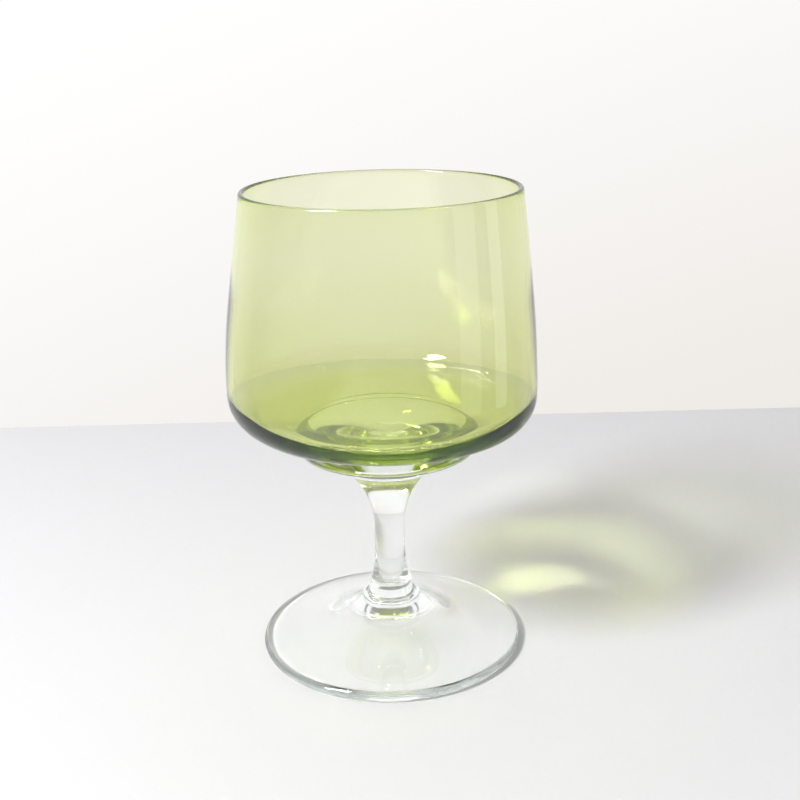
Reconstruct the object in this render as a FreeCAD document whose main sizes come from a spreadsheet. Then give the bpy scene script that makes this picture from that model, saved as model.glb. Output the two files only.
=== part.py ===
import FreeCAD, Part
import os

import Sketcher
from FreeCAD import Vector
from math import atan2

# A low stemmed wine glass, made the way a glass shop makes one: a thinly blown, tinted bowl with a
# thicker floor, a clear merese (the thin disc of glass between bowl and stem), a solid clear stem and a
# clear foot. The pieces are fused end to end, so neighbours meet face to face. Every piece is a
# turned form about the Z axis. Z = 0 is the surface the glass stands on. Millimetres.

SIZES = {
    # foot
    "foot_radius": 34.1,
    "foot_edge_radius": 1.4,
    "foot_rest_inner_radius": 30.5,
    "foot_hollow_depth": 8.0,
    "hollow_sweep_radius": 40.0,
    "hollow_sweep_reach": 32.0,
    "foot_sweep_radius": 46.0,
    "foot_height": 13.2,
    "boss_radius": 7.5,
    "boss_round_radius": 0.7,
    "boss_foot_height": 11.6,
    # stem
    "stem_length": 40.7,
    "stem_base_radius": 6.3,
    "stem_waist_radius": 3.95,
    "waist_low_height": 13.8,
    "waist_high_height": 19.2,
    "stem_top_radius": 21.5,
    # merese
    "merese_thickness": 4.7,
    "merese_radius": 22.95,
    "merese_top_radius": 20.4,
    "merese_edge_radius": 1.8,
    # bowl
    "bowl_height": 61.4,
    "rim_radius": 34.1,
    "lip_thickness": 1.3,
    "belly_radius": 38.8,
    "belly_height": 11.2,
    "belly_arc_radius": 196.5,
    "corner_radius": 9.0,
    "belly_wall": 1.5,
    "inner_belly_height": 12.0,
    "inner_belly_arc_radius": 250.0,
    "inner_corner_radius": 6.2,
    "floor_thickness": 3.4,
}

START, END, CENTRE = 1, 2, 3
ORIGIN = (-1, 1)
RADIUS_AXIS = -1
TURNING_AXIS = -2

document = FreeCAD.newDocument("WineGlass")


def make_sheet():
    """The driving dimensions, one aliased cell each."""
    sheet = document.addObject("Spreadsheet::Sheet", "Sizes")
    for row, (alias, value) in enumerate(SIZES.items(), start=1):
        sheet.set(f"A{row}", alias)
        sheet.set(f"B{row}", str(value))
        sheet.setAlias(f"B{row}", alias)
    document.recompute()
    return sheet


class TurnedPiece:
    """A body turned from one closed outline, drawn as (radius, height) to the right of the Z axis.

    The outline is first sketched roughly, near its final place. Its constraints and the sheet's sizes
    then set it exactly.
    """

    def __init__(self, name):
        self.name = name
        self.body = document.addObject("PartDesign::Body", name)
        self.body.Label = name
        self.sketch = self.body.newObject("Sketcher::SketchObject", f"{name}_outline")
        plane = next(f for f in self.body.Origin.OriginFeatures if f.Role == "XZ_Plane")
        self.sketch.AttachmentSupport = (plane, [""])
        self.sketch.MapMode = "FlatFace"

    def line(self, start, end):
        return self.sketch.addGeometry(Part.LineSegment(Vector(*start, 0), Vector(*end, 0)), False)

    def arc(self, centre, start, end):
        """Counter-clockwise from start to end; the radius is that of the start point."""
        middle = Vector(*centre, 0)
        circle = Part.Circle(middle, Vector(0, 0, 1), (Vector(*start, 0) - middle).Length)
        angles = [atan2(y - centre[1], x - centre[0]) for x, y in (start, end)]
        return self.sketch.addGeometry(Part.ArcOfCircle(circle, *angles), False)

    def constrain(self, kind, *where):
        return self.sketch.addConstraint(Sketcher.Constraint(kind, *where))

    def drive(self, kind, where, expression):
        """A dimension that follows the sheet."""
        value = self.sketch.evalExpression(expression)
        index = self.constrain(kind, *where, getattr(value, "Value", value))
        self.sketch.setExpression(f"Constraints[{index}]", expression)

    def radius_at(self, item, point, expression):
        self.drive("DistanceX", (*ORIGIN, item, point), expression)

    def height_at(self, item, point, expression):
        self.drive("DistanceY", (*ORIGIN, item, point), expression)

    def arc_radius(self, item, expression):
        self.drive("Radius", (item,), expression)

    def meet(self, first, first_end, second, second_end):
        self.constrain("Coincident", first, first_end, second, second_end)

    def flow(self, first, first_end, second, second_end):
        """Joined ends with one tangent direction."""
        self.constrain("Tangent", first, first_end, second, second_end)

    def on_axis(self, item, point):
        self.constrain("PointOnObject", item, point, TURNING_AXIS)

    def level(self, *where):
        self.constrain("Horizontal", *where)

    def turn(self, base_height):
        """Revolves the outline and stands the piece at its height in the glass."""
        solid = self.body.newObject("PartDesign::Revolution", f"{self.name}_turned")
        solid.Profile = self.sketch
        solid.ReferenceAxis = (self.sketch, ["V_Axis"])
        solid.Angle = 360.0
        self.body.Tip = solid
        self.sketch.Visibility = False
        self.body.setExpression("Placement.Base.z", base_height)
        return self.body


def make_foot():
    """A disc that sweeps up to a small boss, hollowed like a bell underneath, on a narrow rest ring."""
    piece = TurnedPiece("foot")
    top = piece.line((6.8, 13.2), (0, 13.2))
    boss_round = piece.arc((6.8, 12.5), (7.5, 12.5), (6.8, 13.2))
    boss_side = piece.line((7.5, 12.5), (7.5, 11.6))
    sweep = piece.arc((35.5, 48.2), (7.5, 11.6), (32.7, 2.8))
    edge = piece.arc((32.7, 1.4), (32.7, 0), (32.7, 2.8))
    rest = piece.line((32.7, 0), (30.5, 0))
    hollow_sweep = piece.arc((32, 40), (13.1, 4.7), (30.5, 0))
    dome = piece.arc((0, -19.8), (13.1, 4.7), (0, 8))
    axis = piece.line((0, 8), (0, 13.2))

    piece.flow(top, START, boss_round, END)
    piece.flow(boss_round, START, boss_side, START)
    piece.meet(boss_side, END, sweep, START)
    piece.flow(sweep, END, edge, END)
    piece.flow(edge, START, rest, START)
    piece.meet(rest, END, hollow_sweep, END)
    piece.flow(hollow_sweep, START, dome, START)
    piece.meet(dome, END, axis, START)
    piece.meet(axis, END, top, END)
    piece.level(top)
    piece.constrain("Vertical", boss_side)
    piece.level(rest)
    piece.on_axis(top, END)
    piece.on_axis(dome, END)
    piece.on_axis(dome, CENTRE)
    piece.constrain("PointOnObject", rest, START, RADIUS_AXIS)

    piece.height_at(top, END, "Sizes.foot_height")
    piece.arc_radius(boss_round, "Sizes.boss_round_radius")
    piece.radius_at(boss_side, START, "Sizes.boss_radius")
    piece.height_at(boss_side, END, "Sizes.boss_foot_height")
    piece.arc_radius(sweep, "Sizes.foot_sweep_radius")
    piece.arc_radius(edge, "Sizes.foot_edge_radius")
    piece.radius_at(edge, CENTRE, "Sizes.foot_radius - Sizes.foot_edge_radius")
    piece.radius_at(rest, END, "Sizes.foot_rest_inner_radius")
    piece.arc_radius(hollow_sweep, "Sizes.hollow_sweep_radius")
    piece.radius_at(hollow_sweep, CENTRE, "Sizes.hollow_sweep_reach")
    piece.height_at(dome, END, "Sizes.foot_hollow_depth")
    return piece.turn("0")


def make_stem():
    """A solid stem: a slim straight waist, a small flare down to the foot, a trumpet up to the bowl."""
    piece = TurnedPiece("stem")
    base = piece.line((0, 0), (6.3, 0))
    low_flare = piece.arc((45.6, 13.8), (3.95, 13.8), (6.3, 0))
    waist = piece.line((3.95, 13.8), (3.95, 19.2))
    trumpet = piece.arc((25.9, 19.2), (21.5, 40.7), (3.95, 19.2))
    top = piece.line((21.5, 40.7), (0, 40.7))
    axis = piece.line((0, 40.7), (0, 0))

    piece.meet(base, END, low_flare, END)
    piece.flow(low_flare, START, waist, START)
    piece.flow(waist, END, trumpet, END)
    piece.meet(trumpet, START, top, START)
    piece.meet(top, END, axis, START)
    piece.meet(axis, END, base, START)
    piece.level(base)
    piece.level(top)
    piece.constrain("Vertical", waist)
    piece.on_axis(top, END)
    piece.constrain("Coincident", base, START, *ORIGIN)

    piece.radius_at(base, END, "Sizes.stem_base_radius")
    piece.radius_at(waist, START, "Sizes.stem_waist_radius")
    piece.height_at(waist, START, "Sizes.waist_low_height")
    piece.height_at(waist, END, "Sizes.waist_high_height")
    piece.radius_at(top, START, "Sizes.stem_top_radius")
    piece.height_at(top, START, "Sizes.stem_length")
    return piece.turn("Sizes.foot_height")


def make_merese():
    """The clear disc under the bowl: it narrows upward, and its lower edge is softened."""
    piece = TurnedPiece("merese")
    under = piece.line((0, 0), (21.15, 0))
    edge = piece.arc((21.15, 1.8), (21.15, 0), (22.95, 1.8))
    side = piece.line((22.95, 1.8), (20.4, 4.7))
    top = piece.line((20.4, 4.7), (0, 4.7))
    axis = piece.line((0, 4.7), (0, 0))

    piece.flow(under, END, edge, START)
    piece.meet(edge, END, side, START)
    piece.meet(side, END, top, START)
    piece.meet(top, END, axis, START)
    piece.meet(axis, END, under, START)
    piece.level(under)
    piece.level(edge, CENTRE, edge, END)
    piece.level(top)
    piece.on_axis(top, END)
    piece.constrain("Coincident", under, START, *ORIGIN)

    piece.arc_radius(edge, "Sizes.merese_edge_radius")
    piece.radius_at(edge, END, "Sizes.merese_radius")
    piece.radius_at(side, END, "Sizes.merese_top_radius")
    piece.height_at(side, END, "Sizes.merese_thickness")
    return piece.turn("Sizes.foot_height + Sizes.stem_length")


def make_bowl():
    """A bowl that narrows from its belly to the rim, with a rounded lip and a dished floor."""
    piece = TurnedPiece("bowl")
    under = piece.line((0, 0), (20.4, 0))
    shoulder = piece.line((20.4, 0), (31.7, 2.4))
    corner = piece.arc((29.8, 11.2), (31.7, 2.4), (38.8, 11.2))
    belly = piece.arc((-157.7, 11.2), (38.8, 11.2), (37, 39))
    taper = piece.line((37, 39), (34.1, 60.7))
    lip = piece.arc((33.45, 60.75), (34.1, 60.75), (32.8, 60.75))
    inner_taper = piece.line((32.8, 60.7), (34.7, 48))
    inner_belly = piece.arc((-212.7, 12), (37.3, 12), (34.7, 48))
    inner_corner = piece.arc((31.1, 12), (32.1, 5.9), (37.3, 12))
    floor = piece.arc((0, 198), (0, 3.4), (32.1, 5.9))
    axis = piece.line((0, 3.4), (0, 0))

    piece.meet(axis, END, under, START)
    piece.meet(under, END, shoulder, START)
    piece.meet(floor, START, axis, START)
    piece.flow(shoulder, END, corner, START)
    piece.flow(corner, END, belly, START)
    piece.flow(belly, END, taper, START)
    piece.flow(taper, END, lip, START)
    piece.flow(lip, END, inner_taper, START)
    piece.flow(inner_taper, END, inner_belly, END)
    piece.flow(inner_belly, START, inner_corner, END)
    piece.flow(inner_corner, START, floor, END)
    piece.level(under)
    piece.level(corner, CENTRE, corner, END)
    piece.level(inner_corner, CENTRE, inner_corner, END)
    piece.constrain("Coincident", under, START, *ORIGIN)
    piece.on_axis(floor, START)
    piece.on_axis(floor, CENTRE)

    piece.radius_at(under, END, "Sizes.merese_top_radius")
    piece.radius_at(corner, END, "Sizes.belly_radius")
    piece.height_at(corner, END, "Sizes.belly_height")
    piece.arc_radius(corner, "Sizes.corner_radius")
    piece.arc_radius(belly, "Sizes.belly_arc_radius")
    piece.arc_radius(lip, "Sizes.lip_thickness / 2")
    piece.radius_at(lip, CENTRE, "Sizes.rim_radius - Sizes.lip_thickness / 2")
    piece.height_at(lip, CENTRE, "Sizes.bowl_height - Sizes.lip_thickness / 2")
    piece.radius_at(inner_corner, END, "Sizes.belly_radius - Sizes.belly_wall")
    piece.height_at(inner_corner, END, "Sizes.inner_belly_height")
    piece.arc_radius(inner_corner, "Sizes.inner_corner_radius")
    piece.arc_radius(inner_belly, "Sizes.inner_belly_arc_radius")
    piece.height_at(floor, START, "Sizes.floor_thickness")
    return piece.turn("Sizes.foot_height + Sizes.stem_length + Sizes.merese_thickness")


def is_one_sound_solid(shape):
    return not shape.isNull() and shape.isValid() and len(shape.Solids) == 1


def check_document(pieces):
    """Stops before anything is written if a feature failed or a solid isn't sound."""
    sketches = [o for o in document.Objects if o.isDerivedFrom("Sketcher::SketchObject")]
    failed = [o.Name for o in document.Objects if {"Invalid", "Error"} & set(o.State)]
    loose = [s.Name for s in sketches if not s.FullyConstrained]
    unsound = [p.Label for p in pieces if not is_one_sound_solid(p.Shape)]
    if failed or loose or unsound:
        raise RuntimeError(f"failed: {failed}, loose sketches: {loose}, unsound solids: {unsound}")


make_sheet()
pieces = [make_foot(), make_stem(), make_merese(), make_bowl()]
document.recompute()
check_document(pieces)

os.makedirs("parts", exist_ok=True)
for piece in pieces:
    piece.Shape.exportStep(f"parts/{piece.Label}.step")
    box = piece.Shape.optimalBoundingBox()
    size = f"radius {box.XMax:.2f}, z {box.ZMin:.2f} to {box.ZMax:.2f}"
    print(f"{piece.Label}: {piece.Shape.Volume:.0f} mm3, {size}")
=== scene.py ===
from math import acos, atan2, cos, degrees, hypot, pi, radians, sin, sqrt

import bpy
import numpy as np
from mathutils import Matrix, Vector


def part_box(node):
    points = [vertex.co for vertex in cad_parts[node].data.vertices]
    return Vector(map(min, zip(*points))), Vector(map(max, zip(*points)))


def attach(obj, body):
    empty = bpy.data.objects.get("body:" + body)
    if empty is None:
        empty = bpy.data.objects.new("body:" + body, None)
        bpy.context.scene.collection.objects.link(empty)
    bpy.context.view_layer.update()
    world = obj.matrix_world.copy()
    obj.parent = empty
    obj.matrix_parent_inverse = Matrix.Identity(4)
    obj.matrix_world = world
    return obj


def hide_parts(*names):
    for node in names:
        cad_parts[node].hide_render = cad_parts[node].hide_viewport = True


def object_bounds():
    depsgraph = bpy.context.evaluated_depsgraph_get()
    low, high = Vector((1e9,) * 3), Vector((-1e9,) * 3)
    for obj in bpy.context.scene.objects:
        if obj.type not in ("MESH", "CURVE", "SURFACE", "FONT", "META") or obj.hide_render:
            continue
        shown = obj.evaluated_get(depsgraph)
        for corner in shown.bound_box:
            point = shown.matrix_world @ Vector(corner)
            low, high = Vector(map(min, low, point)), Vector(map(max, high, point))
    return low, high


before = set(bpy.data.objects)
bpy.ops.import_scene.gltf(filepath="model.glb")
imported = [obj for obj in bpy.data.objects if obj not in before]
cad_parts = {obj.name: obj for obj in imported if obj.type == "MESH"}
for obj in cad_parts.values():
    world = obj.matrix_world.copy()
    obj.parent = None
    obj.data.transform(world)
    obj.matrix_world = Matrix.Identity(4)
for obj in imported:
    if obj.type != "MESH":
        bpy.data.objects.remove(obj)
cad_low, cad_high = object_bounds()
MM = 0.001

# ---------------------------------------------------------------- places, read from the frame

HEIGHT = cad_high[2]
FOOT_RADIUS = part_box("foot")[1][0]
FOOT_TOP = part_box("foot")[1][2]
STEM_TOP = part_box("stem")[1][2]
MERESE_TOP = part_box("merese")[1][2]
MERESE_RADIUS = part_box("merese")[1][0]
BELLY_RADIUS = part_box("bowl")[1][0]
MERESE_TOP_RADIUS = 20.4 * MM
JOINT_GAP = 0.002 * MM

SEGMENTS = 256

# ---------------------------------------------------------------- outlines, as (radius, height)


def arc(centre, radius, start, end, step=1.5 * MM, fewest=8):
    """Points along a circle from one angle to another, in degrees, both ends included."""
    count = max(fewest, int(radius * abs(radians(end - start)) / step))
    angles = np.radians(np.linspace(start, end, count + 1))
    return [(centre[0] + radius * cos(a), centre[1] + radius * sin(a)) for a in angles]


def line(start, end, step=1.5 * MM):
    """Points along a straight run, without its ends."""
    count = max(1, int(hypot(end[0] - start[0], end[1] - start[1]) / step))
    return [(start[0] + (end[0] - start[0]) * i / count, start[1] + (end[1] - start[1]) * i / count)
            for i in range(1, count)]


def tangent_angle(point, centre, radius, side):
    """The angle, in degrees, where a line from point touches the circle; side is +1 or -1."""
    dx, dz = point[0] - centre[0], point[1] - centre[1]
    return degrees(atan2(dz, dx) + side * acos(radius / hypot(dx, dz)))


def common_tangent(first, first_radius, second, second_radius):
    """The angle at which a line touches two circles on their +r side."""
    dx, dz = second[0] - first[0], second[1] - first[1]
    return degrees(atan2(dz, dx) - acos((first_radius - second_radius) / hypot(dx, dz)))


def bowl_outline():
    """From the middle of the flat fused underside, up the outside, over the lip and down the inside."""
    base = MERESE_TOP + JOINT_GAP
    joint_radius = MERESE_TOP_RADIUS
    corner_radius = 9 * MM
    belly_height = 69.8 * MM
    belly_arc = 196.5 * MM
    rim_radius, lip = 34.1 * MM, 0.65 * MM
    inner_radius = BELLY_RADIUS - 1.5 * MM
    inner_height = 70.6 * MM
    inner_arc = 250 * MM
    inner_corner = 6.2 * MM
    floor = 62 * MM

    corner_at = (BELLY_RADIUS - corner_radius, belly_height)
    belly_at = (BELLY_RADIUS - belly_arc, belly_height)
    lip_at = (rim_radius - lip, HEIGHT - lip)
    inner_at = (inner_radius - inner_arc, inner_height)
    inner_corner_at = (inner_radius - inner_corner, inner_height)
    rise = inner_height - floor
    reach = inner_radius - inner_corner
    floor_arc = (reach ** 2 + rise ** 2 - inner_corner ** 2) / (2 * (rise - inner_corner))
    floor_at = (0, floor + floor_arc)

    shoulder = tangent_angle((joint_radius, base), corner_at, corner_radius, 1)
    outer = common_tangent(belly_at, belly_arc, lip_at, lip)
    inner = common_tangent(inner_at, inner_arc, lip_at, -lip)
    floor_end = degrees(atan2(inner_corner_at[1] - floor_at[1], inner_corner_at[0] - floor_at[0]))

    under = [(joint_radius * i / 12, base) for i in range(13)]
    outside = (arc(corner_at, corner_radius, shoulder, 0, 0.4 * MM)
               + arc(belly_at, belly_arc, 0, outer)[1:])
    rim = arc(lip_at, lip, outer, inner + 180, 0.15 * MM)
    inside = (arc(inner_at, inner_arc, inner, 0)
              + arc(inner_corner_at, inner_corner, 0, floor_end, 0.4 * MM)[1:]
              + arc(floor_at, floor_arc, floor_end, -90)[1:])
    points = under + line(under[-1], outside[0]) + outside + line(outside[-1], rim[0]) + rim
    return points + line(rim[-1], inside[0]) + inside


def merese_outline():
    """Flat underneath, a soft lower edge, and a side that narrows to the bowl."""
    base, top = STEM_TOP + JOINT_GAP, MERESE_TOP
    edge = 1.8 * MM
    top_radius = MERESE_TOP_RADIUS
    under = [(0, base)] + line((0, base), (MERESE_RADIUS - edge, base))
    side = arc((MERESE_RADIUS - edge, base + edge), edge, -90, 0, 0.1 * MM)
    over = [(top_radius, top)] + line((top_radius, top), (0, top)) + [(0, top)]
    return under + side + line(side[-1], over[0], 0.5 * MM) + over


def three_point_radius(start, height, end):
    """The radius of an arc that is vertical at start's height and passes through end."""
    dr, dz = end[0] - start, end[1] - height
    return (dr ** 2 + dz ** 2) / (2 * dr)


def stem_outline():
    """A small flare up from the foot, a straight waist, and a trumpet out to the disc."""
    base = FOOT_TOP + JOINT_GAP
    base_radius, waist, top_radius = 6.3 * MM, 3.95 * MM, 21.5 * MM
    low, high = FOOT_TOP + 13.8 * MM, FOOT_TOP + 19.2 * MM
    flare = three_point_radius(waist, low, (base_radius, base))
    trumpet = three_point_radius(waist, high, (top_radius, STEM_TOP))
    flare_at, trumpet_at = (waist + flare, low), (waist + trumpet, high)
    flare_start = degrees(atan2(base - low, base_radius - flare_at[0])) % 360
    trumpet_end = degrees(atan2(STEM_TOP - high, top_radius - trumpet_at[0]))
    under = [(0, base)] + line((0, base), (base_radius, base))
    side = (arc(flare_at, flare, flare_start, 180, 0.6 * MM)
            + arc(trumpet_at, trumpet, 180, trumpet_end, 0.6 * MM))
    return under + side + line(side[-1], (0, STEM_TOP)) + [(0, STEM_TOP)]


def circle_cross(first, first_radius, second, second_radius):
    """The upper crossing of two circles."""
    dx, dz = second[0] - first[0], second[1] - first[1]
    apart = hypot(dx, dz)
    along = (first_radius ** 2 - second_radius ** 2 + apart ** 2) / (2 * apart)
    aside = sqrt(first_radius ** 2 - along ** 2)
    return first[0] + (along * dx - aside * dz) / apart, first[1] + (along * dz + aside * dx) / apart


def foot_outline():
    """From the top of the hollow, out to the rest ring, round the edge and up the sweep to the boss."""
    edge, rest_inner = 1.4 * MM, 30.5 * MM
    boss_radius, boss_round, boss_foot, sweep = 7.5 * MM, 0.7 * MM, 11.6 * MM, 46 * MM
    hollow, hollow_sweep, hollow_reach = 8 * MM, 40 * MM, 32 * MM
    edge_at = (FOOT_RADIUS - edge, edge)
    # the sweep passes through the boss's foot and touches the rounded edge from outside
    sweep_at = circle_cross((boss_radius, boss_foot), sweep, edge_at, sweep + edge)
    # underneath, a dome on the axis flows into a sweep that comes down to the rest ring
    under_at = (hollow_reach, sqrt(hollow_sweep ** 2 - (hollow_reach - rest_inner) ** 2))
    above = under_at[1] - hollow
    dome = (hollow_reach ** 2 + above ** 2 - hollow_sweep ** 2) / (2 * (hollow_sweep - above))
    dome_at = (0, hollow - dome)
    dome_end = degrees(atan2(under_at[1] - dome_at[1], under_at[0]))
    sweep_start = degrees(atan2(boss_foot - sweep_at[1], boss_radius - sweep_at[0])) % 360
    sweep_end = degrees(atan2(edge_at[1] - sweep_at[1], edge_at[0] - sweep_at[0])) % 360
    rest_angle = degrees(atan2(-under_at[1], rest_inner - under_at[0])) % 360
    under = (arc(dome_at, dome, 90, dome_end, 0.6 * MM)
             + arc(under_at, hollow_sweep, dome_end + 180, rest_angle)[1:])
    side = (arc(edge_at, edge, -90, sweep_end - 180, 0.1 * MM)
            + arc(sweep_at, sweep, sweep_end, sweep_start, 0.6 * MM)[1:]
            + arc((boss_radius - boss_round, FOOT_TOP - boss_round), boss_round, 0, 90, 0.1 * MM))
    return under + line(under[-1], side[0]) + side + line(side[-1], (0, FOOT_TOP)) + [(0, FOOT_TOP)]


# ---------------------------------------------------------------- meshes


def lathe(name, outline, is_joint, bend=None):
    """Turns an outline that starts and ends on the axis into a closed mesh, and marks its fused faces."""
    turns = np.arange(SEGMENTS) * 2 * pi / SEGMENTS
    rings = outline[1:-1]
    vertices = [(0, 0, outline[0][1])]
    for radius, height in rings:
        vertices += [(radius * cos(a), radius * sin(a), height) for a in turns]
    vertices.append((0, 0, outline[-1][1]))
    last = len(vertices) - 1

    faces, joint = [], []
    for i in range(SEGMENTS):
        j = (i + 1) % SEGMENTS
        faces.append((0, 1 + j, 1 + i))
        joint.append(is_joint(outline[0], outline[1]))
    for k in range(len(rings) - 1):
        here, there = 1 + k * SEGMENTS, 1 + (k + 1) * SEGMENTS
        at_joint = is_joint(rings[k], rings[k + 1])
        for i in range(SEGMENTS):
            j = (i + 1) % SEGMENTS
            faces.append((here + i, here + j, there + j, there + i))
            joint.append(at_joint)
    top = last - SEGMENTS
    for i in range(SEGMENTS):
        j = (i + 1) % SEGMENTS
        faces.append((top + i, top + j, last))
        joint.append(is_joint(outline[-2], outline[-1]))

    if bend:
        vertices = [bend(*vertex) for vertex in vertices]
    mesh = bpy.data.meshes.new(name)
    mesh.from_pydata(vertices, [], faces)
    mesh.polygons.foreach_set("use_smooth", [True] * len(faces))
    layer = mesh.attributes.new("joint", "FLOAT", "FACE")
    layer.data.foreach_set("value", [float(j) for j in joint])
    mesh.set_sharp_from_angle(angle=radians(25))
    mesh.update()
    piece = bpy.data.objects.new(name, mesh)
    bpy.context.scene.collection.objects.link(piece)
    return piece


def level_at(*heights):
    """True for a run of the outline that lies flat at one of these heights."""
    return lambda a, b: any(abs(a[1] - h) < 1e-7 and abs(b[1] - h) < 1e-7 for h in heights)


# ---------------------------------------------------------------- materials

GLASS_IOR = 1.5


def glass(name, absorbed):
    """Clear-surfaced glass that takes off red, green and blue by depth; absorbed is per metre."""
    material = bpy.data.materials.new(name)
    material.use_nodes = True
    nodes, links = material.node_tree.nodes, material.node_tree.links
    surface = nodes["Principled BSDF"]
    surface.inputs["Base Color"].default_value = (1, 1, 1, 1)
    surface.inputs["Roughness"].default_value = 0.0
    surface.inputs["Transmission Weight"].default_value = 1.0
    surface.inputs["IOR"].default_value = GLASS_IOR

    # where two gathers are fused there is no surface to bend light
    joint = nodes.new("ShaderNodeAttribute")
    joint.attribute_name = "joint"
    bend = nodes.new("ShaderNodeMapRange")
    bend.inputs["To Min"].default_value = GLASS_IOR
    bend.inputs["To Max"].default_value = 1.0
    links.new(joint.outputs["Fac"], bend.inputs["Value"])
    links.new(bend.outputs["Result"], surface.inputs["IOR"])

    depth = nodes.new("ShaderNodeVolumeAbsorption")
    strongest = max(absorbed)
    depth.inputs["Color"].default_value = (*[1 - a / strongest for a in absorbed], 1)
    depth.inputs["Density"].default_value = strongest
    links.new(depth.outputs["Volume"], nodes["Material Output"].inputs["Volume"])
    return material


green_tint = glass("green_tint", (62, 43, 235))
clear_tint = glass("clear_tint", (2.0, 1.0, 1.6))

# ---------------------------------------------------------------- the glass


def lean(x, y, z):
    """The blown bowl leans: its belly is off the axis, its base dips towards +X, and its rim is true."""
    shift, dip = 0.9 * MM, 0.019
    from_base = max(0.0, min(1.0, (z - MERESE_TOP - JOINT_GAP) / (5 * MM)))
    from_rim = min(1.0, (HEIGHT - z) / (45 * MM))
    share = from_base * from_rim
    share = share * share * (3 - 2 * share)
    return x - shift * share, y, z - dip * x * share


bowl = lathe("bowl_blown", bowl_outline(), level_at(MERESE_TOP + JOINT_GAP), lean)
merese = lathe("merese_disc", merese_outline(), level_at(MERESE_TOP, STEM_TOP + JOINT_GAP))
stem = lathe("stem_drawn", stem_outline(), level_at(STEM_TOP, FOOT_TOP + JOINT_GAP))
foot = lathe("foot_pressed", foot_outline(), level_at(FOOT_TOP))
for node, piece, material, slot in (
    ("bowl", bowl, green_tint, "green_glass"),
    ("merese", merese, clear_tint, "clear_glass"),
    ("stem", stem, clear_tint, "clear_glass"),
    ("foot", foot, clear_tint, "clear_glass"),
):
    piece.data.materials.append(material)
    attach(piece, "root")
    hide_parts(node)

# ---------------------------------------------------------------- floor and light

# the floor is a hair under the rest ring, because faces in one plane would hide each other
near, far, side, level = -0.6, 1.5 * HEIGHT, 0.2, -0.02 * MM
floor_mesh = bpy.data.meshes.new("floor")
floor_mesh.from_pydata([(-side, near, level), (side, near, level), (side, far, level), (-side, far, level)],
                       [], [(0, 1, 2, 3)])
floor = bpy.data.objects.new("floor", floor_mesh)
bpy.context.scene.collection.objects.link(floor)
paper = bpy.data.materials.new("paper")
paper.use_nodes = True
paper_surface = paper.node_tree.nodes["Principled BSDF"]
paper_surface.inputs["Base Color"].default_value = (0.71, 0.715, 0.735, 1)
paper_surface.inputs["Roughness"].default_value = 0.7
floor_mesh.materials.append(paper)

# a pale wall ahead, whitest to the upper left, and a darker room behind the camera
world = bpy.data.worlds.new("studio")
bpy.context.scene.world = world
world.use_nodes = True
nodes, links = world.node_tree.nodes, world.node_tree.links


def along(direction, low, high):
    """A value from 0 to 1 as the view turns from low to high along a direction."""
    towards = nodes.new("ShaderNodeVectorMath")
    towards.operation = "DOT_PRODUCT"
    towards.inputs[1].default_value = direction
    links.new(coordinate.outputs["Generated"], towards.inputs[0])
    scale = nodes.new("ShaderNodeMapRange")
    scale.interpolation_type = "SMOOTHSTEP"
    scale.inputs["From Min"].default_value = low
    scale.inputs["From Max"].default_value = high
    links.new(towards.outputs["Value"], scale.inputs["Value"])
    return scale.outputs["Result"]


def mix(low, high, share):
    """Blends two colours, or two outputs, by a share from 0 to 1."""
    blend = nodes.new("ShaderNodeMix")
    blend.data_type = "RGBA"
    for socket, value in ((blend.inputs[6], low), (blend.inputs[7], high)):
        if isinstance(value, tuple):
            socket.default_value = (*value, 1)
        else:
            links.new(value, socket)
    links.new(share, blend.inputs[0])
    return blend.outputs[2]


coordinate = nodes.new("ShaderNodeTexCoord")
wall = mix((1.02, 1.02, 1.02), (0.82, 0.78, 0.73), along((0.55, 0, -1.5), -0.3, 1.0))
room = mix((0.32, 0.31, 0.30), (0.42, 0.41, 0.41), along((0, 0, 1), 0.15, 0.85))
studio = mix(room, wall, along((0, 1, 0), 0.1, 0.75))
links.new(studio, nodes["Background"].inputs["Color"])

AIM = Vector((0, 0, 0.5 * HEIGHT))


def lamp(name, kind, power, where, target):
    """A light at a place, turned to face a target."""
    light = bpy.data.lights.new(name, kind)
    light.energy = power
    lamp_object = bpy.data.objects.new(name, light)
    bpy.context.scene.collection.objects.link(lamp_object)
    lamp_object.location = where
    lamp_object.rotation_euler = (target - where).to_track_quat("-Z", "Y").to_euler()
    return lamp_object


azimuth, elevation, away = radians(-53), radians(41), 0.8
key_way = Vector((sin(azimuth) * cos(elevation), -cos(azimuth) * cos(elevation), sin(elevation)))
key = lamp("key", "AREA", 6.9, AIM + away * key_way, AIM).data
key.shape = "DISK"
key.size = 0.2
key.color = (1.0, 0.99, 0.98)


def glow(name, spot, size, power, stretch):
    """A soft patch of yellow-green light on the floor, as the bowl's heavy bottom throws it."""
    spot = Vector((*spot, 0))
    where = spot + Vector((*stretch, 0.1))
    light = lamp(name, "SPOT", power, where, spot).data
    light.color = (1.0, 1.0, 0.62)
    light.shadow_soft_size = 1 * MM
    light.spot_blend = 1.0
    light.spot_size = 2 * atan2(size, (where - spot).length)


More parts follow.
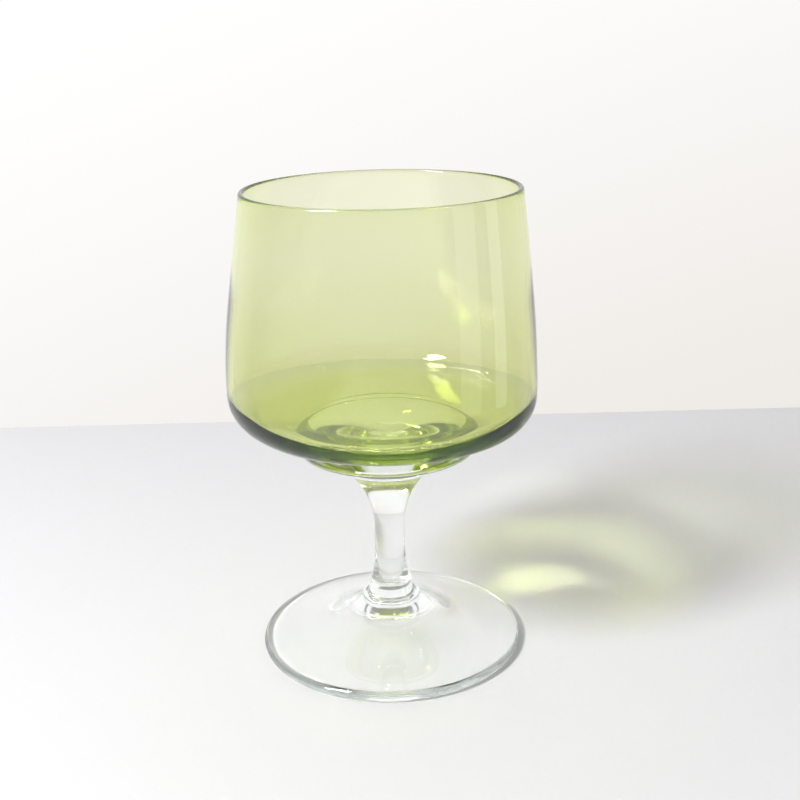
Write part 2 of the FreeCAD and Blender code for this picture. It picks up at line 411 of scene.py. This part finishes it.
glow("glow_near", (45 * MM, 31 * MM), 11 * MM, 0.42, (0.1, 0.01))
glow("glow_far", (58 * MM, 28 * MM), 6 * MM, 0.24, (0.1, -0.04))
glow("glow_middle", (84 * MM, 60 * MM), 22 * MM, 0.08, (0.12, 0.12))
glow("glow_back", (46 * MM, 90 * MM), 26 * MM, 0.12, (0.05, 0.12))


def panel(name, azimuth, rise, size, power):
    """A tall panel of light off to the side, seen only as its reflection in the glass."""
    towards = Vector((sin(radians(azimuth)), -cos(radians(azimuth)), rise))
    panel_object = lamp(name, "AREA", power, AIM + 0.6 * towards, AIM)
    panel_object.data.shape = "RECTANGLE"
    panel_object.data.size, panel_object.data.size_y = size
    panel_object.visible_camera = False
    panel_object.visible_diffuse = False
    panel_object.visible_transmission = False


panel("panel_near", 64, 0.25, (0.2, 0.7), 0.42)
panel("panel_far", 92, 0.25, (0.14, 0.7), 0.36)
panel("window", -57, 0.85, (0.09, 0.6), 7.0)

# ---------------------------------------------------------------- camera

CAMERA_BACK, CAMERA_UP = 2.392 * HEIGHT, 1.335 * HEIGHT
PITCH, YAW, ROLL = radians(18.09), radians(0.69), radians(-1.25)
right = Vector((cos(YAW), -sin(YAW), 0))
ahead = Vector((sin(YAW), cos(YAW), 0))
forward = ahead * cos(PITCH) - Vector((0, 0, sin(PITCH)))
upward = ahead * sin(PITCH) + Vector((0, 0, cos(PITCH)))
camera_right = right * cos(ROLL) + upward * sin(ROLL)
camera_up = upward * cos(ROLL) - right * sin(ROLL)

camera = bpy.data.cameras.new("camera")
camera.lens = 53.8
camera.sensor_width = 36
camera.clip_start = 0.01
camera_object = bpy.data.objects.new("camera", camera)
bpy.context.scene.collection.objects.link(camera_object)
camera_object.matrix_world = Matrix((
    (camera_right.x, camera_up.x, -forward.x, 0),
    (camera_right.y, camera_up.y, -forward.y, -CAMERA_BACK),
    (camera_right.z, camera_up.z, -forward.z, CAMERA_UP),
    (0, 0, 0, 1),
))
bpy.context.scene.camera = camera_object

bpy.context.scene.view_settings.view_transform = "Standard"
cycles = bpy.context.scene.cycles
cycles.max_bounces = 32
cycles.transmission_bounces = 32
cycles.glossy_bounces = 16
cycles.sample_clamp_indirect = 0
cycles.blur_glossy = 0
